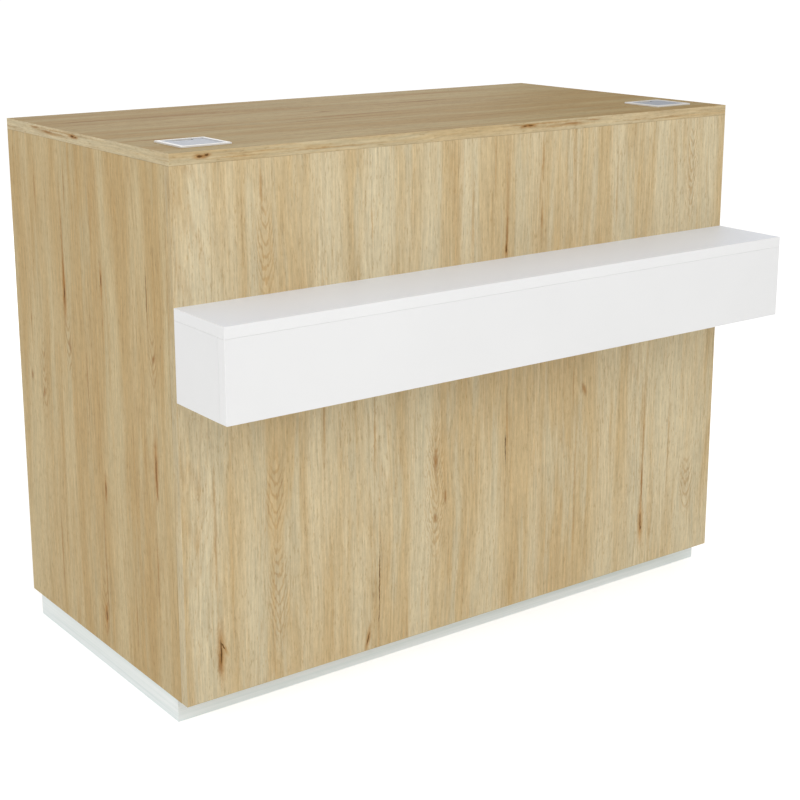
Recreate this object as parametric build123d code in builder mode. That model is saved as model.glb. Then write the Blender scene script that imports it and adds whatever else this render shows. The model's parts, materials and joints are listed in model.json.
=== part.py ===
from build123d import *
import os

# Checkout counter, millimetres. X is the width, Y runs from the customer (-Y) to the operator (+Y),
# Z is up. The origin is on the floor, under the middle of the whole object with its bag shelf.

# Overall sizes
counter_width = 1200
counter_depth = 600
counter_height = 934
plinth_height = 40
bag_shelf_depth = 150
bag_shelf_height = 150
bag_shelf_underside = 550

# Boards and edge bands
board = 19
plinth_board = 18
drawer_board = 16
drawer_bottom_board = 3
band = 1
band_radius = 0.8

# Plinth: how far its faces stand back from the body
plinth_side_inset = 1
plinth_end_inset = 34

# Operator side
drawer_bay_width = 480
shelf_back_inset = 30
shelf_front_gap = 2
shelf_side_gap = 1
pin_hole_pitch = 32
pin_hole_first = 96
pin_hole_count = 18
pin_column_front = 60
pin_column_back = 70
drawer_bay_shelf_hole = 9
lower_shelf_hole = 6
upper_shelf_hole = 15
cable_hole_radius = 30
cable_hole_from_front = 76
cable_hole_below_top = 115

# Shelf pins
pin_radius = 2.5
pin_hole_depth = 10
pin_in_hole = 9
pin_reach = 9
pin_collar_radius = 4
pin_collar = 1

# Dowels and cam fittings
dowel_radius = 4
dowel_length = 30
dowel_in_face = 9.5
dowel_air = 1.5
cam_radius = 7.5
cam_depth = 12.5
cam_setback = 24
cam_bolt_radius = 3
cam_bolt_head_radius = 3.5
cam_bolt_head = 3
cam_thread_depth = 11
cam_shank_bore = 4
cam_cross_width = 1.6
cam_cross_length = 9
cam_cross_depth = 2
fitting_end = 50
fitting_pitch = 32
fitting_spacing = 400
seat_clearance = 0.05

# Levelling feet
foot_inset_x = 100
foot_inset_y = 95
foot_pad_radius = 18
foot_pad_height = 8
foot_pad_round = 2
foot_stem_radius = 5
foot_stem_above_plinth = 10
socket_flange_radius = 15
socket_flange = 3
socket_radius = 10
socket_depth = 15
thread_clearance = 0.05

# Cable grommets
grommet_rim = 5
grommet_flange = 2.5
grommet_corner = 3
grommet_hole_size = 80
grommet_hole_corner = 5
grommet_fit = 0.2
grommet_sleeve_drop = 24
grommet_wall = 2.3
grommet_from_side = 92
grommet_from_front = 91.5
lid_gap = 0.5
lid_thickness = 2.5
lid_recess = 0.9
lid_seat_gap = 0.1
lid_edge_round = 0.5
lid_corner = 1.5
ledge_width = 2.5
ledge_thickness = 2
hinge_pin_radius = 1.2
hinge_pin_setback = 3.2
hinge_pin_length = 2.3
hinge_clearance = 0.05
cable_notch_width = 36
cable_notch_depth = 11
cable_notch_corner = 4

# Drawer
drawer_gap = 3
drawer_front_height = 140
drawer_front_inset = 35
drawer_box_height = 96
drawer_box_rise = 12
drawer_length = 400
groove_rise = 10
groove_depth = 7
groove_clearance = 0.1

# Drawer slides: outer member on the cabinet, middle member, inner member on the drawer
slide_thickness = 12.7
slide_metal = 1.2
outer_height = 45.5
outer_from_drawer = 2.2
middle_height = 34
middle_from_wall = 2.4
middle_from_drawer = 1.4
middle_shortfall = 30
inner_height = 24
inner_from_middle = 1.6
slide_screw_head_radius = 3.6
slide_screw_head = 0.8
slide_screw_radius = 1.9
slide_screw_length = 13
slide_screw_end = 35

# Handle
handle_spacing = 128
handle_overhang = 10
handle_radius = 5
handle_projection = 30
handle_post_radius = 4.5
handle_rise = 58
handle_screw_radius = 2
handle_screw_bite = 10
handle_screw_head_radius = 4
handle_screw_head = 2.4

# Drawer lock
lock_below_top = 27
lock_barrel_radius = 9
lock_flange_radius = 11.5
lock_flange = 2.5
lock_barrel_tail = 8
plug_radius = 6
plug_recess = 1
plug_clearance = 0.05
plug_tail_size = 8
plug_tail_length = 6
lock_nut_flats = 24
lock_nut_height = 5
cam_plate = 2
cam_plate_width = 14
cam_plate_reach = 22
keyway_width = 2.2
keyway_height = 8
keyway_depth = 20
key_thickness = 2
key_blade_height = 7.4
key_blade_in = 18
key_bow_radius = 11
key_bow_out = 15
key_ring_radius = 3
strike_width = 36
strike_metal = 1.5
strike_drop = 13
strike_depth = 26
strike_behind_front = 3.5
strike_screw_offset = 12

# Bag shelf
rail_height = 80
bag_dowel_end = 30
bag_screw_count = 5
bag_screw_end = 80
bag_screw_radius = 2.5
bag_screw_length = 34
bag_screw_head_radius = 5
bag_screw_head = 3

# Places worked out from the sizes above
out_x = counter_width / 2
in_x = out_x - board
back_y = (counter_depth + bag_shelf_depth) / 2
front_y = back_y - counter_depth
bag_front_y = front_y - bag_shelf_depth
inner_front_y = front_y + board
body_z = plinth_height
floor_z = body_z + board
under_top_z = counter_height - board
divider_left = -in_x + drawer_bay_width
divider_right = divider_left + board
shelf_back_y = back_y - shelf_back_inset
X, Y, Z = Vector(1, 0, 0), Vector(0, 1, 0), Vector(0, 0, 1)

os.makedirs("parts", exist_ok=True)


def save(piece, label):
    piece.part.label = label
    export_step(piece.part, f"parts/{label}.step")


def block(low, high, mode=Mode.ADD):
    """A rectangular body between two corners, extruded up from a rectangle."""
    with BuildSketch(Plane.XY.offset(low[2])) as outline:
        with Locations(((low[0] + high[0]) / 2, (low[1] + high[1]) / 2)):
            Rectangle(high[0] - low[0], high[1] - low[1])
    extrude(outline.sketch, amount=high[2] - low[2], mode=mode)


def edge_band(low, high, outer, rounded=None):
    """An edge band between two corners. The edges of its outer face are rounded: all four, or only
    those that run along the axis given."""
    with BuildPart() as strip:
        block(low, high)
        edges = strip.faces().sort_by(Axis((0, 0, 0), tuple(outer)))[-1].edges()
        fillet(edges.filter_by(rounded) if rounded else edges, band_radius)
    return strip.part


def collect(pieces):
    """Several separate solids in the sub-part being made."""
    for piece in pieces:
        add(piece)


def rods(places, radius, length, mode=Mode.ADD):
    """Cylinders from each point along its direction."""
    with Locations(*[Plane(origin=tuple(point), z_dir=tuple(way)) for point, way in places]):
        Cylinder(radius, length, align=(Align.CENTER, Align.CENTER, Align.MIN), mode=mode)


# Fittings. A row runs along a butt joint; "into" points into the board whose edge is joined, and
# "face" is the outward normal of that board's face from which the cam housing is let in.
def dowel_row(start, along, length, into, count, end=bag_dowel_end):
    step = (length - 2 * end) / (count - 1)
    return [(start + along * (end + step * i), into) for i in range(count)]


def cam_row(start, along, length, into, face):
    stations = round(length / fitting_spacing) + 1
    step = (length - 2 * fitting_end) / (stations - 1)
    cams, dowels = [], []
    for i in range(stations):
        reach = fitting_end + step * i
        inward = fitting_pitch if reach < length / 2 + 1 else -fitting_pitch
        cams.append((start + along * reach, into, face))
        dowels.append((start + along * (reach + inward), into))
    return {"cams": cams, "dowels": dowels}


def dowel_holes(dowels):
    starts = [(point - into * (dowel_in_face + dowel_air), into) for point, into in dowels]
    rods(starts, dowel_radius + seat_clearance, dowel_length + 2 * dowel_air, Mode.SUBTRACT)


def cam_holes(cams):
    threads = [(point, into * -1) for point, into, face in cams]
    shanks = [(point, into) for point, into, face in cams]
    pockets = [(point + into * cam_setback + face * (board / 2), face * -1) for point, into, face in cams]
    rods(threads, cam_bolt_radius + seat_clearance, cam_thread_depth + dowel_air, Mode.SUBTRACT)
    rods(shanks, cam_shank_bore, cam_setback, Mode.SUBTRACT)
    rods(pockets, cam_radius + seat_clearance, cam_depth + seat_clearance, Mode.SUBTRACT)


def fitting_holes(*rows):
    """Holes for every dowel and cam of these rows, in the board being made."""
    cam_holes([cam for row in rows for cam in row["cams"]])
    dowel_holes([dowel for row in rows for dowel in row["dowels"]])


side_x = in_x + board / 2
divider_x = (divider_left + divider_right) / 2
side_depth = back_y - inner_front_y
front_joint_y = front_y + board / 2
floor_joint_z = body_z + board / 2
left_top = cam_row(Vector(-side_x, inner_front_y, under_top_z), Y, side_depth, -Z, X)
right_top = cam_row(Vector(side_x, inner_front_y, under_top_z), Y, side_depth, -Z, -X)
front_top = cam_row(Vector(-in_x, front_joint_y, under_top_z), X, 2 * in_x, -Z, Y)
divider_top = cam_row(Vector(divider_x, inner_front_y, under_top_z), Y, side_depth, -Z, -X)
left_front = cam_row(Vector(-side_x, inner_front_y, body_z), Z, under_top_z - body_z, Y, X)
right_front = cam_row(Vector(side_x, inner_front_y, body_z), Z, under_top_z - body_z, Y, -X)
divider_front = cam_row(Vector(divider_x, inner_front_y, floor_z), Z, under_top_z - floor_z, Y, -X)
left_floor = cam_row(Vector(-in_x, inner_front_y, floor_joint_z), Y, side_depth, X, -Z)
right_floor = cam_row(Vector(in_x, inner_front_y, floor_joint_z), Y, side_depth, -X, -Z)
front_floor = cam_row(Vector(-in_x, inner_front_y, floor_joint_z), X, 2 * in_x, Y, -Z)
divider_floor = cam_row(Vector(divider_x, inner_front_y, floor_z), Y, side_depth, Z, -X)
cam_rows = [left_top, right_top, front_top, divider_top, left_front, right_front]
cam_rows += [divider_front, left_floor, right_floor, front_floor, divider_floor]

# Plinth dowels stand in the top edges of the plinth boards. On the long boards there is one
# between each two cams of the bottom panel's front joint.
plinth_front_y = front_y + plinth_end_inset
plinth_back_y = back_y - plinth_end_inset
plinth_x = out_x - plinth_side_inset
plinth_side_x = plinth_x - plinth_board / 2
plinth_gaps = len(front_floor["cams"]) - 1
plinth_dowel_step = 2 * in_x / plinth_gaps
plinth_dowel_xs = [plinth_dowel_step * (i - (plinth_gaps - 1) / 2) for i in range(plinth_gaps)]
plinth_long_dowels = [
    (Vector(x, y, body_z), -Z)
    for x in plinth_dowel_xs
    for y in (plinth_front_y + plinth_board / 2, plinth_back_y - plinth_board / 2)
]
plinth_side_dowels = [
    (Vector(x, inner_front_y + side_depth * share, body_z), -Z)
    for x in (-plinth_side_x, plinth_side_x)
    for share in (0.4, 0.7)
]
plinth_dowels = plinth_long_dowels + plinth_side_dowels

# Bag shelf joints: top on ends, front and rail; ends, rail and bottom between them
bag_top_z = bag_shelf_underside + bag_shelf_height
bag_under_top_z = bag_top_z - board
bag_inner_front_y = bag_front_y + board
bag_end_depth = front_y - bag_inner_front_y
bag_clear_height = bag_under_top_z - bag_shelf_underside
rail_joint_y = front_y - board / 2
bag_top_dowels = dowel_row(Vector(-in_x, bag_front_y + board / 2, bag_under_top_z), X, 2 * in_x, -Z, 5)
bag_top_dowels += dowel_row(Vector(-in_x, rail_joint_y, bag_under_top_z), X, 2 * in_x, -Z, 4)
bag_end_top_dowels = [
    dowel
    for x in (-side_x, side_x)
    for dowel in dowel_row(Vector(x, bag_inner_front_y, bag_under_top_z), Y, bag_end_depth, -Z, 2)
]
bag_end_front_dowels = [
    dowel
    for x in (-side_x, side_x)
    for dowel in dowel_row(Vector(x, bag_inner_front_y, bag_shelf_underside), Z, bag_clear_height, Y, 2)
]
bag_bottom_z = bag_shelf_underside + board / 2
bag_bottom_dowels = [
    dowel
    for x, into in ((-in_x, X), (in_x, -X))
    for dowel in dowel_row(Vector(x, bag_inner_front_y, bag_bottom_z), Y, bag_end_depth, into, 2)
]
bag_dowels = bag_top_dowels + bag_end_top_dowels + bag_end_front_dowels + bag_bottom_dowels
rail_z = bag_under_top_z - rail_height / 2
bag_screw_step = (2 * in_x - 2 * bag_screw_end) / (bag_screw_count - 1)
bag_screw_places = [
    (Vector(-in_x + bag_screw_end + bag_screw_step * i, inner_front_y, rail_z), -Y)
    for i in range(bag_screw_count)
]


def bag_screw_holes():
    rods(bag_screw_places, bag_screw_radius + seat_clearance, bag_screw_length + dowel_air, Mode.SUBTRACT)
    rods(bag_screw_places, bag_screw_head_radius + seat_clearance, bag_screw_head, Mode.SUBTRACT)


# Grommet places
grommet_x = out_x - grommet_from_side
grommet_y = front_y + grommet_from_front
grommet_sides = (("left", -grommet_x), ("right", grommet_x))

# Shelf pin columns
pin_ys = (inner_front_y + pin_column_front, back_y - pin_column_back)
pin_first_z = floor_z + pin_hole_first
pin_zs = [pin_first_z + pin_hole_pitch * i for i in range(pin_hole_count)]


def pin_holes(wall_x, into, depth=pin_hole_depth):
    places = [(Vector(wall_x, y, z), into) for y in pin_ys for z in pin_zs]
    rods(places, pin_radius + seat_clearance, depth, Mode.SUBTRACT)


# Drawer places
bay_left, bay_right = -in_x, divider_left
drawer_face_y = back_y - drawer_front_inset
drawer_inner_y = drawer_face_y - board
drawer_end_y = drawer_inner_y - drawer_length
drawer_front_top = under_top_z - drawer_gap
drawer_front_bottom = drawer_front_top - drawer_front_height
box_bottom = drawer_front_bottom + drawer_box_rise
box_top = box_bottom + drawer_box_height
box_left = bay_left + slide_thickness
box_right = bay_right - slide_thickness
bay_x = (bay_left + bay_right) / 2
slide_z = (box_bottom + box_top) / 2
slide_step = (drawer_length - 2 * slide_screw_end) / 2
slide_screw_ys = [drawer_end_y + slide_screw_end + slide_step * i for i in range(3)]
slide_sides = (("left", bay_left, X), ("right", bay_right, -X))
lock_z = under_top_z - lock_below_top
strike_front_y = drawer_inner_y - strike_behind_front
strike_screws = [
    (Vector(bay_x + x, strike_front_y - strike_depth / 2, under_top_z - strike_metal), Z)
    for x in (-strike_screw_offset, strike_screw_offset)
]


def slide_places(wall_x, into, depth):
    """Points on a rail's web, depth away from the wall, with the direction of the screws."""
    return [(Vector(wall_x, y, slide_z) + into * depth, into) for y in slide_screw_ys]


def outer_screws(wall_x, into):
    return [(point, into * -1) for point, _ in slide_places(wall_x, into, slide_metal)]


def cabinet_screw_holes(places):
    rods(places, slide_screw_radius + seat_clearance, slide_screw_length + dowel_air, Mode.SUBTRACT)


# Body panels
with BuildPart() as top_panel:
    block((-out_x + band, front_y + band, under_top_z), (out_x - band, back_y - band, counter_height))
    with BuildSketch(Plane.XY.offset(under_top_z)) as grommet_holes:
        with Locations((-grommet_x, grommet_y), (grommet_x, grommet_y)):
            RectangleRounded(grommet_hole_size, grommet_hole_size, grommet_hole_corner)
    extrude(amount=board, mode=Mode.SUBTRACT)
    fitting_holes(left_top, right_top, front_top, divider_top)
    cabinet_screw_holes(strike_screws)
save(top_panel, "top_panel")

end_bands = ((-out_x, -out_x + band, -X), (out_x - band, out_x, X))
top_bands = [
    edge_band((-out_x, front_y, under_top_z), (out_x, front_y + band, counter_height), -Y),
    edge_band((-out_x, back_y - band, under_top_z), (out_x, back_y, counter_height), Y),
]
for left, right, outer in end_bands:
    low = (left, front_y + band, under_top_z)
    top_bands.append(edge_band(low, (right, back_y - band, counter_height), outer, Axis.Y))
with BuildPart() as top_edge_bands:
    collect(top_bands)
save(top_edge_bands, "top_edge_bands")

with BuildPart() as front_panel:
    block((-out_x + band, front_y, body_z + band), (out_x - band, inner_front_y, under_top_z))
    fitting_holes(front_top, left_front, right_front, divider_front, front_floor)
    bag_screw_holes()
save(front_panel, "front_panel")

with BuildPart() as side_panel_left:
    block((-out_x, inner_front_y, body_z), (-in_x, back_y - band, under_top_z))
    fitting_holes(left_top, left_front, left_floor)
    dowel_holes(plinth_side_dowels)
    pin_holes(-in_x, -X)
    cabinet_screw_holes(outer_screws(bay_left, X))
save(side_panel_left, "side_panel_left")

with BuildPart() as side_panel_right:
    block((in_x, inner_front_y, body_z), (out_x, back_y - band, under_top_z))
    fitting_holes(right_top, right_front, right_floor)
    dowel_holes(plinth_side_dowels)
    pin_holes(in_x, X)
save(side_panel_right, "side_panel_right")

foot_places = {
    "front_left": (-out_x + foot_inset_x, inner_front_y + foot_inset_y),
    "front_right": (out_x - foot_inset_x, inner_front_y + foot_inset_y),
    "back_left": (-out_x + foot_inset_x, back_y - foot_inset_y),
    "back_right": (out_x - foot_inset_x, back_y - foot_inset_y),
}

sockets = [(Vector(x, y, body_z), Z) for x, y in foot_places.values()]

with BuildPart() as bottom_panel:
    block((-in_x, inner_front_y, body_z), (in_x, back_y - band, floor_z))
    fitting_holes(left_floor, right_floor, front_floor, divider_floor)
    dowel_holes(plinth_long_dowels)
    rods(sockets, socket_radius + seat_clearance, socket_depth + dowel_air, Mode.SUBTRACT)
save(bottom_panel, "bottom_panel")

with BuildPart() as divider_panel:
    block((divider_left, inner_front_y, floor_z), (divider_right, back_y - band, under_top_z))
    fitting_holes(divider_top, divider_front, divider_floor)
    pin_holes(divider_left, X, board)
    cabinet_screw_holes(outer_screws(bay_right, -X))
    cable_y = inner_front_y + cable_hole_from_front
    cable_z = under_top_z - cable_hole_below_top
    rods([(Vector(divider_left, cable_y, cable_z), X)], cable_hole_radius, board, Mode.SUBTRACT)
save(divider_panel, "divider_panel")

upright_bands = [
    edge_band((left, front_y, body_z), (right, inner_front_y, under_top_z), outer)
    for left, right, outer in end_bands
]
for left, right, low_z in (
    (-out_x, -in_x, body_z),
    (in_x, out_x, body_z),
    (divider_left, divider_right, floor_z),
):
    upright_bands.append(edge_band((left, back_y - band, low_z), (right, back_y, under_top_z), Y))
with BuildPart() as vertical_edge_bands:
    collect(upright_bands)
save(vertical_edge_bands, "vertical_edge_bands")

# Adjustable shelves: left bay under the drawer, and two in the open bay
bays = {"drawer_bay": (-in_x, divider_left), "open_bay": (divider_right, in_x)}
shelves = {
    "drawer_bay_shelf": ("drawer_bay", drawer_bay_shelf_hole),
    "open_bay_shelf_lower": ("open_bay", lower_shelf_hole),
    "open_bay_shelf_upper": ("open_bay", upper_shelf_hole),
}
shelf_bands = []
pin_places = []
for name, (bay, hole) in shelves.items():
    left, right = bays[bay][0] + shelf_side_gap, bays[bay][1] - shelf_side_gap
    under_z = pin_zs[hole] + pin_radius
    with BuildPart() as shelf:
        low = (left, inner_front_y + shelf_front_gap, under_z)
        block(low, (right, shelf_back_y - band, under_z + board))
    save(shelf, name)
    low = (left, shelf_back_y - band, under_z)
    shelf_bands.append(edge_band(low, (right, shelf_back_y, under_z + board), Y))
    for wall_x, way in ((bays[bay][0], X), (bays[bay][1], -X)):
        pin_places += [(Vector(wall_x, y, pin_zs[hole]), way) for y in pin_ys]

level_bands = [
    edge_band((-out_x + band, front_y, body_z), (out_x - band, inner_front_y, body_z + band), -Z, Axis.X),
    edge_band((-in_x, back_y - band, body_z), (in_x, back_y, floor_z), Y),
]
with BuildPart() as horizontal_edge_bands:
    collect(level_bands + shelf_bands)
save(horizontal_edge_bands, "horizontal_edge_bands")

with BuildPart() as shelf_pins:
    inner_ends = [(point - way * pin_in_hole, way) for point, way in pin_places]
    rods(inner_ends, pin_radius, pin_in_hole + pin_reach)
    rods(pin_places, pin_collar_radius, pin_collar)
    # The shelf rests on a flat, so each collar and pin is cut off level with the underside of its shelf
    for point, way in pin_places:
        end = point + way * pin_reach
        low_x, high_x = sorted((point.X, end.X))
        block(
            (low_x, point.Y - pin_collar_radius, point.Z + pin_radius),
            (high_x, point.Y + pin_collar_radius, point.Z + pin_collar_radius),
            Mode.SUBTRACT,
        )
save(shelf_pins, "shelf_pins")

with BuildPart() as wood_dowels:
    all_dowels = [dowel for row in cam_rows for dowel in row["dowels"]] + plinth_dowels + bag_dowels
    rods([(point - into * dowel_in_face, into) for point, into in all_dowels], dowel_radius, dowel_length)
save(wood_dowels, "wood_dowels")

all_cams = [cam for row in cam_rows for cam in row["cams"]]
with BuildPart() as cam_housings:
    to_face = board / 2
    faces = [(point + into * cam_setback + face * to_face, face * -1, into) for point, into, face in all_cams]
    rods([(point, inward) for point, inward, into in faces], cam_radius, cam_depth)
    # The bolt head reaches in from the joint, and a cross slot takes the screwdriver
    rods([(point, into) for point, into, face in all_cams], cam_shank_bore, cam_setback, Mode.SUBTRACT)
    slots = [Plane(tuple(point), tuple(into), tuple(inward)) for point, inward, into in faces]
    with Locations(*slots):
        slot_seat = (Align.CENTER, Align.CENTER, Align.MIN)
        Box(cam_cross_length, cam_cross_width, cam_cross_depth, align=slot_seat, mode=Mode.SUBTRACT)
        Box(cam_cross_width, cam_cross_length, cam_cross_depth, align=slot_seat, mode=Mode.SUBTRACT)
save(cam_housings, "cam_housings")

with BuildPart() as cam_bolts:
    length = cam_thread_depth + cam_setback
    rods([(point - into * cam_thread_depth, into) for point, into, face in all_cams], cam_bolt_radius, length)
    heads = [(point + into * (cam_setback - cam_bolt_head), into) for point, into, face in all_cams]
    rods(heads, cam_bolt_head_radius, cam_bolt_head)
save(cam_bolts, "cam_bolts")

# Plinth: four mitred boards
plinth_outer = [
    (-plinth_x, plinth_front_y),
    (plinth_x, plinth_front_y),
    (plinth_x, plinth_back_y),
    (-plinth_x, plinth_back_y),
]
plinth_inner = [
    (-plinth_x + plinth_board, plinth_front_y + plinth_board),
    (plinth_x - plinth_board, plinth_front_y + plinth_board),
    (plinth_x - plinth_board, plinth_back_y - plinth_board),
    (-plinth_x + plinth_board, plinth_back_y - plinth_board),
]
for i, name in enumerate(("plinth_front", "plinth_right", "plinth_back", "plinth_left")):
    j = (i + 1) % len(plinth_outer)
    with BuildPart() as plinth:
        with BuildSketch(Plane.XY):
            with BuildLine():
                Polyline(plinth_outer[i], plinth_outer[j], plinth_inner[j], plinth_inner[i], close=True)
            make_face()
        extrude(amount=body_z)
        dowel_holes(plinth_dowels)
    save(plinth, name)

# Levelling feet: a knock-in threaded socket, and a foot whose stem screws up into it
stem_bore = foot_stem_radius + thread_clearance
socket_starts = [(Vector(x, y, body_z - socket_flange), Z) for x, y in foot_places.values()]
with BuildPart() as levelling_sockets:
    rods(socket_starts, socket_flange_radius, socket_flange)
    rods(sockets, socket_radius, socket_depth)
    rods(socket_starts, stem_bore, socket_flange + socket_depth, Mode.SUBTRACT)
save(levelling_sockets, "levelling_sockets")

for name, (x, y) in foot_places.items():
    with BuildPart() as levelling_foot:
        rods([(Vector(x, y, 0), Z)], foot_pad_radius, foot_pad_height)
        fillet(levelling_foot.edges().sort_by(Axis.Z)[-1], foot_pad_round)
        stem_length = body_z + foot_stem_above_plinth - foot_pad_height
        rods([(Vector(x, y, foot_pad_height), Z)], foot_stem_radius, stem_length)
    save(levelling_foot, f"levelling_foot_{name}")

# Bag shelf on the customer side
with BuildPart() as bag_shelf_top:
    block((-out_x + band, bag_front_y + band, bag_under_top_z), (out_x - band, front_y, bag_top_z))
    dowel_holes(bag_top_dowels + bag_end_top_dowels)
save(bag_shelf_top, "bag_shelf_top")

with BuildPart() as bag_shelf_front:
    low = (-out_x + band, bag_front_y, bag_shelf_underside + band)
    block(low, (out_x - band, bag_inner_front_y, bag_under_top_z))
    dowel_holes(bag_top_dowels + bag_end_front_dowels)
save(bag_shelf_front, "bag_shelf_front")

for name, x in (("left", -side_x), ("right", side_x)):
    with BuildPart() as bag_shelf_end:
        low = (x - board / 2, bag_inner_front_y, bag_shelf_underside + band)
        block(low, (x + board / 2, front_y, bag_under_top_z))
        dowel_holes(bag_end_top_dowels + bag_end_front_dowels + bag_bottom_dowels)
    save(bag_shelf_end, f"bag_shelf_end_{name}")

with BuildPart() as bag_shelf_bottom:
    block((-in_x, bag_inner_front_y, bag_shelf_underside), (in_x, front_y, bag_shelf_underside + board))
    dowel_holes(bag_bottom_dowels)
save(bag_shelf_bottom, "bag_shelf_bottom")

with BuildPart() as bag_shelf_back_rail:
    block((-in_x, front_y - board, bag_under_top_z - rail_height), (in_x, front_y, bag_under_top_z))
    dowel_holes(bag_top_dowels)
    bag_screw_holes()
save(bag_shelf_back_rail, "bag_shelf_back_rail")

under_z = bag_shelf_underside
bag_bands = [edge_band((-out_x, bag_front_y, bag_under_top_z), (out_x, bag_front_y + band, bag_top_z), -Y)]
for left, right, outer in end_bands:
    low = (left, bag_front_y + band, bag_under_top_z)
    bag_bands.append(edge_band(low, (right, front_y, bag_top_z), outer, Axis.Y))
    low = (left, bag_front_y, under_z + band)
    bag_bands.append(edge_band(low, (right, bag_inner_front_y, bag_under_top_z), outer))
low = (-out_x + band, bag_front_y, under_z)
bag_bands.append(edge_band(low, (out_x - band, bag_inner_front_y, under_z + band), -Z, Axis.X))
for x in (-side_x, side_x):
    low = (x - board / 2, bag_inner_front_y, under_z)
    bag_bands.append(edge_band(low, (x + board / 2, front_y, under_z + band), -Z, Axis.Y))
with BuildPart() as bag_shelf_edge_bands:
    collect(bag_bands)
save(bag_shelf_edge_bands, "bag_shelf_edge_bands")

with BuildPart() as bag_shelf_screws:
    rods(bag_screw_places, bag_screw_radius, bag_screw_length)
    rods(bag_screw_places, bag_screw_head_radius, bag_screw_head - seat_clearance)
save(bag_shelf_screws, "bag_shelf_screws")

# Cable grommets: a moulded frame in the worktop and a lid hinged at its customer side
flange_top = counter_height + grommet_flange
lid_top = flange_top - lid_recess
lid_under = lid_top - lid_thickness
ledge_top = lid_under - lid_seat_gap
flange_size = grommet_hole_size + 2 * grommet_rim
sleeve_size = grommet_hole_size - 2 * grommet_fit
grommet_throat = sleeve_size - 2 * grommet_wall
sleeve_end = counter_height - grommet_sleeve_drop
pin_y = -grommet_throat / 2 + hinge_pin_setback
pin_z = (lid_top + lid_under) / 2
lid_size = grommet_throat - 2 * lid_gap
for name, centre_x in grommet_sides:
    centre = (centre_x, grommet_y)
    with BuildPart() as grommet_frame:
        with BuildSketch(Plane.XY.offset(counter_height)):
            with Locations(centre):
                RectangleRounded(flange_size, flange_size, grommet_corner)
        extrude(amount=grommet_flange)
        fillet(grommet_frame.faces().sort_by(Axis.Z)[-1].edges(), band_radius)
        with BuildSketch(Plane.XY.offset(sleeve_end)):
            with Locations(centre):
                RectangleRounded(sleeve_size, sleeve_size, grommet_hole_corner)
        extrude(amount=counter_height - sleeve_end)
        with BuildSketch(Plane.XY.offset(sleeve_end)):
            with Locations(centre):
                RectangleRounded(grommet_throat, grommet_throat, lid_corner)
        extrude(amount=flange_top - sleeve_end, mode=Mode.SUBTRACT)
        # Ledge under the lid on three sides, open at the hinge and at the cable notch
        side_reach = grommet_throat / 2
        ledge_front = grommet_y + pin_y + 2 * hinge_pin_setback
        ledge_back = grommet_y + side_reach
        for sense in (-1, 1):
            edge, inner = centre_x + sense * side_reach, centre_x + sense * (side_reach - ledge_width)
            notch_edge = centre_x + sense * cable_notch_width / 2
            low_x, high_x = sorted((edge, inner))
            block((low_x, ledge_front, ledge_top - ledge_thickness), (high_x, ledge_back, ledge_top))
            low_x, high_x = sorted((edge, notch_edge))
            low = (low_x, ledge_back - ledge_width, ledge_top - ledge_thickness)
            block(low, (high_x, ledge_back, ledge_top))
        bore = side_reach + hinge_pin_length + lid_gap
        start = Vector(centre_x - bore, grommet_y + pin_y, pin_z)
        rods([(start, X)], hinge_pin_radius + hinge_clearance, 2 * bore, Mode.SUBTRACT)
    save(grommet_frame, f"grommet_frame_{name}")

    with BuildPart() as grommet_lid:
        with BuildSketch(Plane.XY.offset(lid_under)) as outline:
            with Locations(centre):
                RectangleRounded(lid_size, lid_size, lid_corner)
            notch_y = grommet_y + lid_size / 2
            with Locations((centre_x, notch_y)):
                notch_length = 2 * cable_notch_depth
                RectangleRounded(cable_notch_width, notch_length, cable_notch_corner, mode=Mode.SUBTRACT)
        extrude(amount=lid_thickness)
        fillet(grommet_lid.faces().sort_by(Axis.Z)[-1].edges(), lid_edge_round)
        pin_half = grommet_throat / 2 + hinge_pin_length
        start = Vector(centre_x - pin_half, grommet_y + pin_y, pin_z)
        rods([(start, X)], hinge_pin_radius, 2 * pin_half)
    save(grommet_lid, f"grommet_lid_{name}")

# Drawer
front_left_x, front_right_x = bay_left + drawer_gap, bay_right - drawer_gap
groove_low = box_bottom + groove_rise
groove_high = groove_low + drawer_bottom_board + 2 * groove_clearance
inside_left, inside_right = box_left + drawer_board, box_right - drawer_board
box_mid_left, box_mid_right = box_left + drawer_board / 2, box_right - drawer_board / 2
front_dowels = [
    dowel
    for x in (box_mid_left, box_mid_right)
    for dowel in dowel_row(Vector(x, drawer_inner_y, box_bottom), Z, drawer_box_height, -Y, 2, end=20)
]
back_mid_y = drawer_end_y + drawer_board / 2
back_dowels = [
    dowel
    for x, into in ((inside_left, X), (inside_right, -X))
    for dowel in dowel_row(Vector(x, back_mid_y, box_bottom), Z, drawer_box_height, into, 2, end=20)
]
handle_z = drawer_front_bottom + handle_rise
handle_xs = (bay_x - handle_spacing / 2, bay_x + handle_spacing / 2)
handle_screw_reach = board + handle_screw_bite


def bottom_groove():
    """The groove that holds the thin drawer bottom, cut in all four boards of the box."""
    low = (inside_left - groove_depth, drawer_end_y + drawer_board - groove_depth, groove_low)
    block(low, (inside_right + groove_depth, drawer_inner_y + groove_depth, groove_high), Mode.SUBTRACT)


def inner_screws(wall_x, into):
    return slide_places(wall_x, into, slide_thickness - slide_metal)


with BuildPart() as drawer_front:
    low = (front_left_x + band, drawer_inner_y, drawer_front_bottom + band)
    block(low, (front_right_x - band, drawer_face_y, drawer_front_top - band))
    dowel_holes(front_dowels)
    bottom_groove()
    barrel = [(Vector(bay_x, drawer_inner_y, lock_z), Y)]
    rods(barrel, lock_barrel_radius + seat_clearance, board, Mode.SUBTRACT)
    screws = [(Vector(x, drawer_inner_y, handle_z), Y) for x in handle_xs]
    rods(screws, handle_screw_radius + seat_clearance, board, Mode.SUBTRACT)
save(drawer_front, "drawer_front")

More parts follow.
